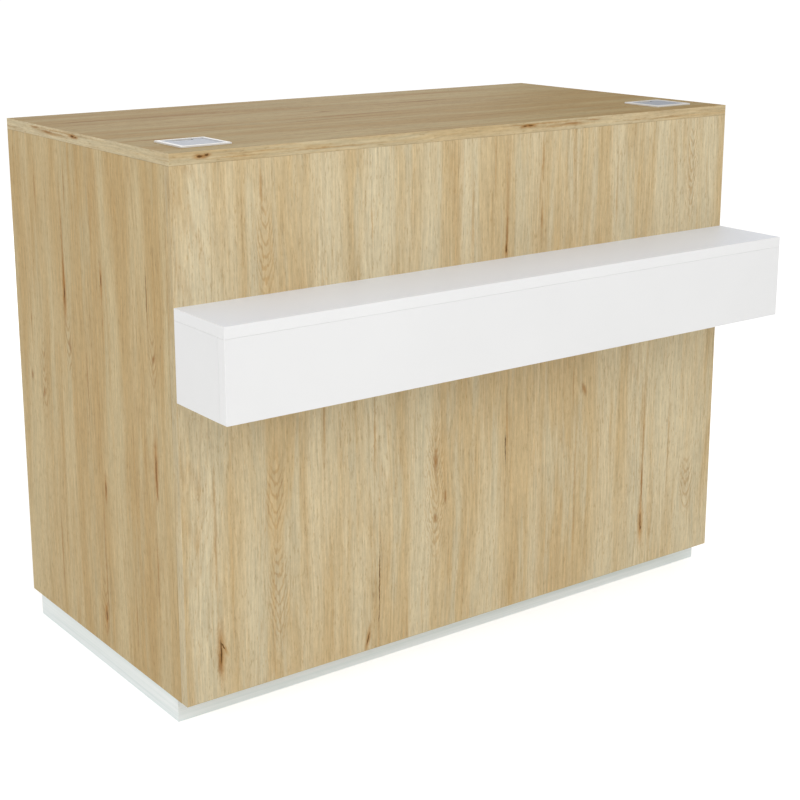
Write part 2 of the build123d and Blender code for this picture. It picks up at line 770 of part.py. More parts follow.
drawer_bands = []
for left, right, outer in (
    (front_left_x, front_left_x + band, -X),
    (front_right_x - band, front_right_x, X),
):
    low = (left, drawer_inner_y, drawer_front_bottom)
    drawer_bands.append(edge_band(low, (right, drawer_face_y, drawer_front_top), outer))
for low_z, outer in ((drawer_front_bottom, -Z), (drawer_front_top - band, Z)):
    low = (front_left_x + band, drawer_inner_y, low_z)
    high = (front_right_x - band, drawer_face_y, low_z + band)
    drawer_bands.append(edge_band(low, high, outer, Axis.X))
with BuildPart() as drawer_front_edge_bands:
    collect(drawer_bands)
save(drawer_front_edge_bands, "drawer_front_edge_bands")

for name, left, wall_x, into in (
    ("left", box_left, bay_left, X),
    ("right", inside_right, bay_right, -X),
):
    with BuildPart() as drawer_side:
        block((left, drawer_end_y, box_bottom), (left + drawer_board, drawer_inner_y, box_top))
        dowel_holes(front_dowels + back_dowels)
        bottom_groove()
        cabinet_screw_holes(inner_screws(wall_x, into))
    save(drawer_side, f"drawer_side_{name}")

with BuildPart() as drawer_back:
    block((inside_left, drawer_end_y, box_bottom), (inside_right, drawer_end_y + drawer_board, box_top))
    dowel_holes(back_dowels)
    bottom_groove()
save(drawer_back, "drawer_back")

with BuildPart() as drawer_bottom:
    tuck = groove_depth - 2 * groove_clearance
    low = (inside_left - tuck, drawer_end_y + drawer_board - tuck, groove_low + groove_clearance)
    high = (inside_right + tuck, drawer_inner_y + tuck, groove_high - groove_clearance)
    block(low, high)
save(drawer_bottom, "drawer_bottom")

with BuildPart() as drawer_dowels:
    places = [(point - into * dowel_in_face, into) for point, into in front_dowels + back_dowels]
    rods(places, dowel_radius, dowel_length)
save(drawer_dowels, "drawer_dowels")

with BuildPart() as drawer_handle:
    bar_y = drawer_face_y + handle_projection - handle_radius
    bar_start = Vector(handle_xs[0] - handle_overhang, bar_y, handle_z)
    rods([(bar_start, X)], handle_radius, handle_spacing + 2 * handle_overhang)
    fillet(drawer_handle.edges(), band_radius)
    posts = [(Vector(x, drawer_face_y, handle_z), Y) for x in handle_xs]
    rods(posts, handle_post_radius, bar_y - drawer_face_y)
    rods(posts, handle_screw_radius + seat_clearance, handle_screw_bite + dowel_air, Mode.SUBTRACT)
save(drawer_handle, "drawer_handle")

with BuildPart() as drawer_handle_screws:
    shanks = [(Vector(x, drawer_inner_y, handle_z), Y) for x in handle_xs]
    rods(shanks, handle_screw_radius, handle_screw_reach)
    heads = [(point, -Y) for point, way in shanks]
    rods(heads, handle_screw_head_radius, handle_screw_head)
save(drawer_handle_screws, "drawer_handle_screws")


# Ball-bearing drawer slides
def channel(plane, height, start, end, web_start, length):
    """A C-shaped rail with flanges from start to end and its web at one of them."""
    with BuildSketch(plane) as outline:
        with Locations(((start + end) / 2, 0)):
            Rectangle(end - start, height)
        hollow_low, hollow_high = (start + slide_metal, end) if web_start else (start, end - slide_metal)
        with Locations(((hollow_low + hollow_high) / 2, 0)):
            Rectangle(hollow_high - hollow_low, height - 2 * slide_metal, mode=Mode.SUBTRACT)
    extrude(outline.sketch, amount=length)


middle_length = drawer_length - middle_shortfall
outer_end = slide_thickness - outer_from_drawer
middle_end = slide_thickness - middle_from_drawer
for name, wall_x, into in slide_sides:
    end_plane = Plane(origin=(wall_x, drawer_end_y, slide_z), x_dir=tuple(into), z_dir=(0, 1, 0))
    with BuildPart() as slide_outer:
        channel(end_plane, outer_height, 0, outer_end, True, drawer_length)
        rods(outer_screws(wall_x, into), slide_screw_radius + seat_clearance, slide_metal, Mode.SUBTRACT)
    save(slide_outer, f"slide_outer_{name}")

    with BuildPart() as slide_middle:
        channel(end_plane, middle_height, middle_from_wall, middle_end, True, middle_length)
    save(slide_middle, f"slide_middle_{name}")

    with BuildPart() as slide_inner:
        inner_start = middle_from_wall + slide_metal + inner_from_middle
        channel(end_plane, inner_height, inner_start, slide_thickness, False, drawer_length)
        rods(inner_screws(wall_x, into), slide_screw_radius + seat_clearance, slide_metal, Mode.SUBTRACT)
    save(slide_inner, f"slide_inner_{name}")


def wood_screws(places):
    rods(places, slide_screw_radius, slide_screw_length)
    rods([(point, way * -1) for point, way in places], slide_screw_head_radius, slide_screw_head)


with BuildPart() as cabinet_screws:
    wood_screws(outer_screws(bay_left, X) + outer_screws(bay_right, -X) + strike_screws)
save(cabinet_screws, "cabinet_screws")

with BuildPart() as slide_drawer_screws:
    wood_screws(inner_screws(bay_left, X) + inner_screws(bay_right, -X))
save(slide_drawer_screws, "slide_drawer_screws")

# Lock: barrel through the drawer front, nut behind it, plug turning in the barrel with its cam and key
lock_end_y = drawer_inner_y - lock_barrel_tail
plug_face_y = drawer_face_y + lock_flange - plug_recess
lock_axis = Vector(bay_x, lock_end_y, lock_z)
with BuildPart() as lock_housing:
    rods([(lock_axis, Y)], lock_barrel_radius, drawer_face_y - lock_end_y)
    rods([(Vector(bay_x, drawer_face_y, lock_z), Y)], lock_flange_radius, lock_flange)
    fillet(lock_housing.faces().sort_by(Axis.Y)[-1].edges(), band_radius)
    bore_length = drawer_face_y + lock_flange - lock_end_y
    rods([(lock_axis, Y)], plug_radius + plug_clearance, bore_length, Mode.SUBTRACT)
save(lock_housing, "lock_housing")

with BuildPart() as lock_nut:
    with BuildSketch(Plane(origin=(bay_x, drawer_inner_y, lock_z), x_dir=(1, 0, 0), z_dir=(0, -1, 0))):
        RegularPolygon(lock_nut_flats / 2, 6, major_radius=False)
        Circle(lock_barrel_radius + seat_clearance, mode=Mode.SUBTRACT)
    extrude(amount=lock_nut_height)
save(lock_nut, "lock_nut")

tail_start_y = lock_end_y - plug_tail_length
half_tail = plug_tail_size / 2
with BuildPart() as lock_plug:
    rods([(lock_axis, Y)], plug_radius, plug_face_y - lock_end_y)
    low = (bay_x - half_tail, tail_start_y, lock_z - half_tail)
    block(low, (bay_x + half_tail, lock_end_y, lock_z + half_tail))
    half_key = keyway_width / 2
    low = (bay_x - half_key, plug_face_y - keyway_depth, lock_z - keyway_height / 2)
    block(low, (bay_x + half_key, plug_face_y, lock_z + keyway_height / 2), Mode.SUBTRACT)
save(lock_plug, "lock_plug")

with BuildPart() as lock_cam:
    cam_plate_y = (tail_start_y + lock_end_y) / 2
    cam_plane = Plane(origin=(bay_x, cam_plate_y, lock_z), x_dir=(-1, 0, 0), z_dir=(0, 1, 0))
    with BuildSketch(cam_plane):
        Circle(cam_plate_width / 2)
        with Locations((cam_plate_reach / 2, 0)):
            Rectangle(cam_plate_reach, cam_plate_width)
        tail_hole = plug_tail_size + 2 * seat_clearance
        Rectangle(tail_hole, tail_hole, mode=Mode.SUBTRACT)
    extrude(amount=cam_plate / 2, both=True)
save(lock_cam, "lock_cam")

with BuildPart() as drawer_key:
    half_key = key_thickness / 2
    half_blade = key_blade_height / 2
    low = (bay_x - half_key, plug_face_y - key_blade_in, lock_z - half_blade)
    block(low, (bay_x + half_key, plug_face_y + key_bow_out, lock_z + half_blade))
    bow_y = plug_face_y + key_bow_out
    rods([(Vector(bay_x - half_key, bow_y, lock_z), X)], key_bow_radius, key_thickness)
    ring = Vector(bay_x - half_key, bow_y + key_bow_radius - 2 * key_ring_radius, lock_z)
    rods([(ring, X)], key_ring_radius, key_thickness, Mode.SUBTRACT)
save(drawer_key, "drawer_key")

with BuildPart() as lock_strike_plate:
    half_strike = strike_width / 2
    low = (bay_x - half_strike, strike_front_y - strike_depth, under_top_z - strike_metal)
    block(low, (bay_x + half_strike, strike_front_y, under_top_z))
    low = (bay_x - half_strike, strike_front_y - strike_metal, under_top_z - strike_drop)
    block(low, (bay_x + half_strike, strike_front_y, under_top_z))
    rods(strike_screws, slide_screw_radius + seat_clearance, strike_metal, Mode.SUBTRACT)
save(lock_strike_plate, "lock_strike_plate")
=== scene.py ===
import json
import math
from functools import partial

import bmesh
import bpy
from mathutils import Matrix, Vector

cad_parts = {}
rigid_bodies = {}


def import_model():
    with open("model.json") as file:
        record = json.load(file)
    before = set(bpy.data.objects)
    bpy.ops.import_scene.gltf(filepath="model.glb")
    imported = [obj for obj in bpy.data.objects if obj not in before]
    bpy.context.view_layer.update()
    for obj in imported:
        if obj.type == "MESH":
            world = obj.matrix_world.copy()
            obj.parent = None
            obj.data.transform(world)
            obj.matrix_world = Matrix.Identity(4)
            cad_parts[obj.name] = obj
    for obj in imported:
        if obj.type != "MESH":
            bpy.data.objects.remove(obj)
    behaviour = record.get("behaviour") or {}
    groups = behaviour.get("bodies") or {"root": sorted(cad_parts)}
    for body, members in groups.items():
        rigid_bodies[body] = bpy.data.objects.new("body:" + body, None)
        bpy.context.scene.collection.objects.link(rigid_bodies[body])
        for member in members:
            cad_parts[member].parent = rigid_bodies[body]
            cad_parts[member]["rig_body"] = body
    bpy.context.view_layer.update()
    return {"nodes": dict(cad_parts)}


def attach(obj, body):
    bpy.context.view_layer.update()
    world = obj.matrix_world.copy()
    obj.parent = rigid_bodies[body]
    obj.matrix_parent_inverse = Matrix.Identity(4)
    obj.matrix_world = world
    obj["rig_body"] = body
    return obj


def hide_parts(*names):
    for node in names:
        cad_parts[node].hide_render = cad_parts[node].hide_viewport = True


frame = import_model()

mm = 0.001
nodes = frame["nodes"]
print("frame loaded:", len(nodes), "nodes")


def linear(hexColour):
    # sRGB hex to the linear colour the shaders want
    parts = [int(hexColour.lstrip("#")[i : i + 2], 16) / 255 for i in (0, 2, 4)]
    return [c / 12.92 if c <= 0.04045 else ((c + 0.055) / 1.055) ** 2.4 for c in parts] + [1.0]


def addNode(tree, kind, links=None, out=0, **settings):
    # adds one node, sets it up, feeds its sockets and gives one of its outputs
    node = tree.nodes.new(kind)
    for name, value in settings.items():
        setattr(node, name, value)
    for socket, value in (links or {}).items():
        if isinstance(value, bpy.types.NodeSocket):
            tree.links.new(value, node.inputs[socket])
        else:
            node.inputs[socket].default_value = value
    return node.outputs[out] if len(node.outputs) else node


def newMaterial(name):
    material = bpy.data.materials.new(name)
    material.use_nodes = True
    material.node_tree.nodes.clear()
    return material, material.node_tree


cameraValues = {
    "place": (-1.700, -2.294, 1.240),
    "heading": 36.39,       # degrees from +Y towards +X
    "downwards": 13.54,     # degrees
    "lens": 70.9,           # millimetres, as the sensor is
    "sensor": 36,
    "shift": -0.1,
}

cameraData = bpy.data.cameras.new("viewCamera")
cameraData.lens = cameraValues["lens"]
cameraData.sensor_width = cameraValues["sensor"]
cameraData.shift_y = cameraValues["shift"]
viewCamera = bpy.data.objects.new("viewCamera", cameraData)
viewCamera.location = cameraValues["place"]
viewCamera.rotation_euler = (
    math.radians(90 - cameraValues["downwards"]), 0, -math.radians(cameraValues["heading"]))
bpy.context.scene.collection.objects.link(viewCamera)
bpy.context.scene.camera = viewCamera

lightValues = {
    "skyStrength": 0.67,
    "backdropStrength": 1.0,
    "aim": (0, 0, 0.5),      # where every box points
    "frontBox": {"place": (-0.7, -3.1, 2.8), "size": 2.2, "power": 37},
    "leftBox": {"place": (-3.6, -0.6, 1.8), "size": 2.0, "power": 16},
    "backBox": {"place": (1.8, 3.6, 1.8), "size": 2.4, "power": 34},
}

world = bpy.data.worlds.new("studio")
bpy.context.scene.world = world
world.use_nodes = True
world.node_tree.nodes.clear()
sky = addNode(world.node_tree, "ShaderNodeBackground",
              {"Color": (1, 1, 1, 1), "Strength": lightValues["skyStrength"]})
backdrop = addNode(world.node_tree, "ShaderNodeBackground",
                   {"Color": (1, 1, 1, 1), "Strength": lightValues["backdropStrength"]})
seen = addNode(world.node_tree, "ShaderNodeLightPath", out="Is Camera Ray")
bothSkies = addNode(world.node_tree, "ShaderNodeMixShader", {0: seen, 1: sky, 2: backdrop})
addNode(world.node_tree, "ShaderNodeOutputWorld", {"Surface": bothSkies})


def softBox(name, place, size, power):
    data = bpy.data.lights.new(name, "AREA")
    data.shape = "SQUARE"
    data.size = size
    data.energy = power
    lamp = bpy.data.objects.new(name, data)
    lamp.location = place
    lamp.rotation_euler = (Vector(lightValues["aim"]) - Vector(place)).to_track_quat("-Z", "Y").to_euler()
    bpy.context.scene.collection.objects.link(lamp)


for boxName in ("frontBox", "leftBox", "backBox"):
    softBox(boxName, **lightValues[boxName])

bpy.context.scene.view_settings.view_transform = "Standard"

floorValues = {
    "reach": 30,             # metres from the middle to each side
    "colour": "#e9e9e8",
    "roughness": 0.9,
    "sheen": 0.1,
    "glow": 0.50,            # what the eye sees of the bright floor
    "lift": 0.12,            # the light that it sends back up to the object
}

far = floorValues["reach"]
floorMesh = bpy.data.meshes.new("studioFloor")
floorMesh.from_pydata([(-far, -far, 0), (far, -far, 0), (far, far, 0), (-far, far, 0)], [], [(0, 1, 2, 3)])
studioFloor = bpy.data.objects.new("studioFloor", floorMesh)
bpy.context.scene.collection.objects.link(studioFloor)
paleFloor, floorTree = newMaterial("paleFloor")
glow = addNode(floorTree, "ShaderNodeMapRange", {
    0: addNode(floorTree, "ShaderNodeLightPath", out="Is Camera Ray"),
    3: floorValues["lift"], 4: floorValues["glow"]})
floorSurface = addNode(floorTree, "ShaderNodeBsdfPrincipled", {
    "Base Color": linear(floorValues["colour"]), "Roughness": floorValues["roughness"],
    "Specular IOR Level": floorValues["sheen"], "Emission Color": (1, 1, 1, 1), "Emission Strength": glow})
addNode(floorTree, "ShaderNodeOutputMaterial", {"Surface": floorSurface})
floorMesh.materials.append(paleFloor)
print("camera, light and floor made")

noiseLow, noiseHigh = 0.3, 0.7   # nearly all of a noise's values lie between these


# A light oak decor, printed on paper and pressed in resin: a satin, even surface with a little bump in its
# pores. The eye gets warm tan and sand bands along the grain, fine fibres, dark pores, knots and cracks.
# The grain runs along the second axis of a board's frame.
grainFrames = {
    "uprightFront": ((1, 0, 0), (0, 0, 1), (0, -1, 0)),   # seen on an XZ face, grain up
    "uprightSide": ((0, 1, 0), (0, 0, 1), (1, 0, 0)),     # seen on a YZ face, grain up
    "lying": ((0, 1, 0), (1, 0, 0), (0, 0, -1)),          # seen on an XY face, grain along X
    "lyingFront": ((0, 0, 1), (1, 0, 0), (0, 1, 0)),      # seen on an XZ face, grain along X
    "lyingSide": ((0, 0, 1), (0, 1, 0), (-1, 0, 0)),      # seen on a YZ face, grain along Y
}

oakColours = {
    "sand": "#d9caa7",
    "tan": "#cbb183",
    "grey": "#d0c3a2",
    "streak": "#b9935a",
    "pore": "#a68350",
    "arc": "#ad8146",
    "tanMark": "#ad7f40",
    "halo": "#b5813a",
    "knot": "#996524",
    "crack": "#543510",
}

# Layers of the grain: the size of a cell across and along it in millimetres, its detail and roughness.
# Real pores are 0.2 mm wide. They are drawn 2 mm wide, because finer ones don't show.
grainLayers = {
    "sway": (90, 420, 2.0, 0.5),
    "wideBands": (62, 900, 3.0, 0.5),
    "greyBands": (36, 460, 3.0, 0.6),
    "streaks": (12, 240, 5.0, 0.68),
    "fibres": (3.4, 75, 4.0, 0.7),
    "mottle": (5, 15, 3.0, 0.7),
    "pores": (2.0, 15, 2.0, 0.6),
    "fray": (6, 22, 3.0, 0.6),
    "unrest": (16, 42, 3.0, 0.65),
    "figure": (80, 1500, 1.0, 0.4),
}

oakValues = {
    "sway": 26 * mm,              # how far the grain wanders from side to side
    "poreEdges": (0.54, 0.72),    # the noise at a pore's rim and at its middle
    "poreCover": (0.05, 0.75),    # in the palest and in the darkest streaks
    "figureEdges": (0.54, 0.66),  # where the flat-sawn figure fades in
    "figureCover": 0.16,
    "figureLines": 160.0,         # more of them lie closer together
    "figureBend": 0.08,           # how far streaks push its lines about
    "figureLineFrom": 0.3,        # a higher one gives thinner lines
    "mottleShare": 0.3,           # of the fine tone, and the rest of it is fibres
    "fineTone": (0.76, 1.19),     # how dark and how light it makes the colour
    "greenWarmth": 0.35,          # the share of a board's warmth that green loses, blue losing all of it
    "poreDepth": 0.8,             # against the height of the fibres
    "bump": 0.08,
    "bumpHeight": 0.3 * mm,
    "roughness": 0.56,
    "poreRoughness": 0.2,         # what pores add to it
    "ior": 1.5,
}

# Colours laid over each other: colour, layer, from where to where it fades in, how much it covers
colourLayers = [
    ("tan", "wideBands", 0.38, 0.62, 0.80),
    ("grey", "greyBands", 0.50, 0.66, 0.70),
    ("streak", "streaks", 0.50, 0.80, 0.60),
]

# Marks: how much they cover, where their edge fades, the layer that frays it and how far
markLooks = {
    "arc": {"cover": 0.40, "rim": 1.3, "core": 0.6, "layer": "mottle", "frays": 0.2},
    "tanMark": {"cover": 0.60, "rim": 1.3, "core": 0.4, "layer": "mottle", "frays": 0.5},
    "halo": {"cover": 0.75, "rim": 1.4, "core": 0.3, "layer": "mottle", "frays": 0.5},
    "knot": {"cover": 0.62, "rim": 1.3, "core": 0.4, "layer": "mottle", "frays": 0.5},
    "crack": {"cover": 0.88, "rim": 1.45, "core": 0.85, "layer": "pores", "frays": 1.1},
}
arcValues = {
    "spacing": 23 * mm,
    "flare": 1.6,       # how fast the bows open out from their tips
    "depth": 0.9,       # how far their ends fall behind the tips
    "streakBend": 0.4,
    "unrest": 0.45,     # how far each line strays from an even bow
}
frayReach = 5 * mm
# long tan marks break up along the fibres
breakValues = {"fibreShare": 0.5, "edges": (0.45, 0.85)}
# a crack shorter than this has a warm halo round it, wider and longer by shares of the crack's length
haloValues = {"longest": 70, "widerBy": 0.27, "stretch": 2.2}

throughBoard = 1000   # metres, so that a mark reaches all the way through

# Where each board's marks are, in millimetres: across, along, width, length, and lean in degrees
frontMarks = {
    "crack": [
        (-535, 118, 5, 62, 0), (-531, 128, 3, 26, 28), (-244, 62, 4, 34, -12), (411, 128, 5, 56, 1),
        (412, 117, 8, 16, 0), (56, 716, 4, 22, -4), (61, 349, 3, 96, 0), (-219, 160, 2.4, 260, -1),
    ],
    "knot": [
        (251, 428, 14, 40, 24), (-98, 356, 12, 60, 0), (-76, 288, 9, 34, 4), (-98, 252, 11, 24, 0),
        (57, 745, 9, 120, 1), (411, 210, 7, 110, 0), (-537, 98, 12, 60, 0),
    ],
    "tanMark": [
        (-228, 430, 5, 210, 0), (-219, 130, 6, 330, -1), (64, 390, 6, 260, 1), (62, 250, 5, 160, 0),
        (224, 440, 5, 160, 0), (233, 220, 7, 400, 0), (411, 260, 6, 420, 0), (-539, 300, 7, 420, 0),
        (-442, 866, 8, 90, 0), (-232, 800, 5, 110, 2), (58, 830, 16, 240, 0), (138, 752, 10, 120, 0),
        (138, 870, 7, 120, 0), (-20, 800, 9, 200, 0), (30, 860, 7, 160, 0), (-160, 60, 6, 180, 0),
        (320, 800, 8, 180, 0), (-330, 560, 7, 500, 0), (480, 300, 6, 380, 0),
    ],
    "arc": [
        (-426, 360, 46, 150, 0), (-423, 190, 50, 210, 0), (-436, 770, 42, 180, 0),
        (515, 812, 40, 220, 0), (536, 182, 44, 130, 0), (-98, 300, 60, 300, 0),
    ],
}

leftMarks = {
    "crack": [
        (167, 650, 5, 60, 0), (23, 700, 4, 34, 0), (-148, 425, 4, 66, 1), (39, 336, 3, 34, 0),
        (58, 98, 5, 36, 0), (-136, 700, 2.4, 120, 0),
    ],
    "knot": [
        (-153, 603, 12, 26, 20), (155, 561, 12, 26, -10), (323, 474, 13, 32, 0), (274, 451, 11, 30, 15),
        (167, 690, 7, 90, 0), (-149, 390, 7, 80, 0),
    ],
    "tanMark": [
        (167, 720, 12, 260, 0), (-137, 680, 5, 170, 1), (314, 570, 6, 200, 0), (-142, 235, 6, 270, 0),
        (23, 640, 5, 180, 0), (50, 200, 9, 300, 0), (230, 160, 8, 240, 0), (-60, 140, 7, 240, 0),
        (270, 820, 9, 160, 0), (150, 840, 8, 120, 0), (90, 500, 6, 260, 0),
    ],
    "arc": [
        (270, 480, 44, 170, 0), (160, 560, 40, 120, 0), (-150, 600, 36, 110, 0), (60, 110, 40, 130, 0),
    ],
}

topMarks = {
    "crack": [],
    "knot": [
        (240, -500, 12, 190, 0), (-60, -520, 7, 120, 0), (180, 180, 12, 150, 0), (130, -90, 14, 60, 0),
    ],
    "tanMark": [
        (236, -400, 26, 420, 0), (-60, -540, 14, 160, 0), (180, 160, 14, 460, 0), (60, -60, 26, 420, 0),
        (20, -120, 12, 420, 0), (-90, 120, 9, 380, 0), (250, -300, 12, 400, 0), (-140, -250, 8, 240, 0),
        (60, -420, 12, 260, 0), (300, 280, 10, 380, 0),
    ],
    "arc": [(120, 260, 50, 300, 0), (230, -180, 60, 320, 0)],
}

bandMarks = {
    "crack": [(926, -548, 7, 14, 0), (928, -536, 5, 10, 0), (928, 106, 4, 20, 0), (927, 94, 3, 12, 0)],
    "knot": [(926, -542, 12, 30, 0), (927, 100, 8, 50, 0), (926, 205, 6, 60, 0), (929, 255, 5, 50, 0)],
    "tanMark": [
        (922, -300, 4, 300, 0), (930, 120, 4, 360, 0), (921, 420, 4, 300, 0), (924, 180, 9, 200, 0),
        (921, -480, 3, 160, 0), (926, -440, 3, 200, 0),
    ],
}


def boardFrame(add, grain):
    # Object coordinates turned to a board's own: across, along the grain, and out of its face
    place = add("ShaderNodeTexCoord", out="Object")
    names = grain if isinstance(grain, tuple) else (grain,)
    frames = [add("ShaderNodeMapping", {
        "Vector": place, "Rotation": Matrix(grainFrames[one]).to_euler()}) for one in names]
    if len(frames) == 1:
        return frames[0]
    # a band that runs round a board takes the frame of the side that it is on
    normal = add("ShaderNodeTexCoord", out="Normal")
    sideways = add("ShaderNodeMath", {0: add("ShaderNodeSeparateXYZ", {0: normal})}, operation="ABSOLUTE")
    onSide = add("ShaderNodeMath", {0: sideways, 1: 0.5}, operation="GREATER_THAN")
    return add("ShaderNodeMix", {0: onSide, 4: frames[0], 5: frames[1]}, out=1, data_type="VECTOR")


def grainFields(add, board, seed):
    # every board is cut from another place of the decor, and its grain sways from side to side
    place = add("ShaderNodeVectorMath", {0: board, 1: seed}, operation="ADD")
    fields = {}
    for layer, (across, along, detail, rough) in grainLayers.items():
        cells = add("ShaderNodeMapping", {
            "Vector": place, "Scale": (1 / (across * mm), 1 / (along * mm), 1 / (across * mm))})
        fields[layer] = add("ShaderNodeTexNoise", {
            "Vector": cells, "Scale": 1.0, "Detail": detail, "Roughness": rough})
        if layer == "sway":
            side = add("ShaderNodeMath", {
                0: fields[layer], 1: oakValues["sway"], 2: -oakValues["sway"] / 2}, operation="MULTIPLY_ADD")
            sideVector = add("ShaderNodeCombineXYZ", {0: side})
            place = add("ShaderNodeVectorMath", {0: place, 1: sideVector}, operation="ADD")
    return fields, place


def grainColour(add, fields):
    colour = linear(oakColours["sand"])
    for tint, layer, low, high, cover in colourLayers:
        amount = add("ShaderNodeMapRange", {
            0: fields[layer], 1: low, 2: high, 4: cover}, interpolation_type="SMOOTHSTEP")
        colour = add("ShaderNodeMix", {
            0: amount, 6: colour, 7: linear(oakColours[tint])}, out=2, data_type="RGBA")
    # pores lie thickest in the streaks
    thinCover, thickCover = oakValues["poreCover"]
    poreCover = add("ShaderNodeMapRange", {0: fields["streaks"], 3: thinCover, 4: thickCover})
    rim, core = oakValues["poreEdges"]
    pores = add("ShaderNodeMapRange", {
        0: fields["pores"], 1: rim, 2: core, 4: poreCover}, interpolation_type="SMOOTHSTEP")
    colour = add("ShaderNodeMix", {
        0: pores, 6: colour, 7: linear(oakColours["pore"])}, out=2, data_type="RGBA")
    # flat-sawn figure: long nested lines where the cut touches a growth ring
    bent = add("ShaderNodeMath", {
        0: fields["streaks"], 1: oakValues["figureBend"], 2: fields["figure"]}, operation="MULTIPLY_ADD")
    ringAngle = add("ShaderNodeMath", {0: bent, 1: oakValues["figureLines"]}, operation="MULTIPLY")
    rings = add("ShaderNodeMath", {0: ringAngle}, operation="SINE")
    fadesFrom, fadesTo = oakValues["figureEdges"]
    ringCover = add("ShaderNodeMapRange", {
        0: fields["figure"], 1: fadesFrom, 2: fadesTo, 4: oakValues["figureCover"]},
        interpolation_type="SMOOTHSTEP")
    amount = add("ShaderNodeMapRange", {
        0: rings, 1: oakValues["figureLineFrom"], 2: 1.0, 4: ringCover}, interpolation_type="SMOOTHSTEP")
    colour = add("ShaderNodeMix", {
        0: amount, 6: colour, 7: linear(oakColours["arc"])}, out=2, data_type="RGBA")
    return colour, pores


def arcLines(add, local, fields, length, cover):
    # nested bows with uneven, broken lines
    split = add("ShaderNodeSeparateXYZ", {0: local}).node
    aside = add("ShaderNodeMath", {0: split.outputs[0]}, operation="ABSOLUTE")
    curve = add("ShaderNodeMath", {0: aside, 1: arcValues["flare"]}, operation="POWER")
    bow = add("ShaderNodeMath", {
        0: curve, 1: -arcValues["depth"], 2: split.outputs[1]}, operation="MULTIPLY_ADD")
    for layer, push in (("streaks", arcValues["streakBend"]), ("unrest", arcValues["unrest"])):
        bow = add("ShaderNodeMath", {0: fields[layer], 1: push, 2: bow}, operation="MULTIPLY_ADD")
    turns = math.pi * length * mm / arcValues["spacing"]
    angle = add("ShaderNodeMath", {0: bow, 1: turns}, operation="MULTIPLY")
    wave = add("ShaderNodeMath", {0: angle}, operation="SINE")
    return add("ShaderNodeMapRange", {0: wave, 1: 0.0, 2: 1.0, 4: cover}, interpolation_type="SMOOTHSTEP")


def boardMarks(add, board, fields, marks, colour):
    wobble = add("ShaderNodeMath", {
        0: fields["fray"], 1: frayReach, 2: -frayReach / 2}, operation="MULTIPLY_ADD")
    wobbleVector = add("ShaderNodeCombineXYZ", {0: wobble})
    ragged = add("ShaderNodeVectorMath", {0: board, 1: wobbleVector}, operation="ADD")
    brokenSum = add("ShaderNodeMath", {
        0: fields["fibres"], 1: breakValues["fibreShare"], 2: fields["streaks"]}, operation="MULTIPLY_ADD")
    gone, whole = breakValues["edges"]
    broken = add("ShaderNodeMapRange", {0: brokenSum, 1: gone, 2: whole}, interpolation_type="SMOOTHSTEP")
    halos = [(across, along, width + length * haloValues["widerBy"], length * haloValues["stretch"], lean)
             for across, along, width, length, lean in marks["crack"] if length < haloValues["longest"]]
    for kind, look in markLooks.items():
        together = None
        for across, along, width, length, lean in {**marks, "halo": halos}.get(kind, []):
            local = add("ShaderNodeMapping", {
                "Vector": ragged, "Location": (across * mm, along * mm, 0),
                "Rotation": (0, 0, math.radians(lean)),
                "Scale": (width * mm / 2, length * mm / 2, throughBoard),
            }, vector_type="TEXTURE")
            reach = add("ShaderNodeVectorMath", {0: local}, out="Value", operation="LENGTH")
            frayed = add("ShaderNodeMath", {
                0: fields[look["layer"]], 1: look["frays"], 2: reach}, operation="MULTIPLY_ADD")
            mask = add("ShaderNodeMapRange", {
                0: frayed, 1: look["rim"], 2: look["core"]}, interpolation_type="SMOOTHSTEP")
            if kind == "arc":
                mask = arcLines(add, local, fields, length, mask)
            if together is None:
                together = mask
            else:
                together = add("ShaderNodeMath", {0: together, 1: mask}, operation="MAXIMUM")
        if together is None:
            continue
        if kind == "tanMark":
            together = add("ShaderNodeMath", {0: together, 1: broken}, operation="MULTIPLY")
        amount = add("ShaderNodeMath", {0: together, 1: look["cover"]}, operation="MULTIPLY")
        colour = add("ShaderNodeMix", {
            0: amount, 6: colour, 7: linear(oakColours[kind])}, out=2, data_type="RGBA")
    return colour


looseKnotValues = {
    "perMetre": (7.0, 2.6, 0.2),   # places for one, across, along and through
    "rarity": 0.72,                # the share of places that stay empty
    "looks": (("knot", 0.11, 0.02, 0.6), ("crack", 0.045, 0.01, 0.8)),   # rim, core and cover
}


def looseKnots(add, place, colour):
    # small knots here and there, on boards without marks of their own
    cells = add("ShaderNodeMapping", {"Vector": place, "Scale": looseKnotValues["perMetre"]})
    knots = add("ShaderNodeTexVoronoi", {"Vector": cells, "Scale": 1.0, "Randomness": 1.0})
    chance = add("ShaderNodeSeparateXYZ", {0: knots.node.outputs["Color"]})
    some = add("ShaderNodeMath", {0: chance, 1: looseKnotValues["rarity"]}, operation="GREATER_THAN")
    for kind, rim, core, cover in looseKnotValues["looks"]:
        mask = add("ShaderNodeMapRange", {
            0: knots, 1: rim, 2: core, 4: cover}, interpolation_type="SMOOTHSTEP")
        amount = add("ShaderNodeMath", {0: mask, 1: some}, operation="MULTIPLY")
        colour = add("ShaderNodeMix", {
            0: amount, 6: colour, 7: linear(oakColours[kind])}, out=2, data_type="RGBA")
    return colour


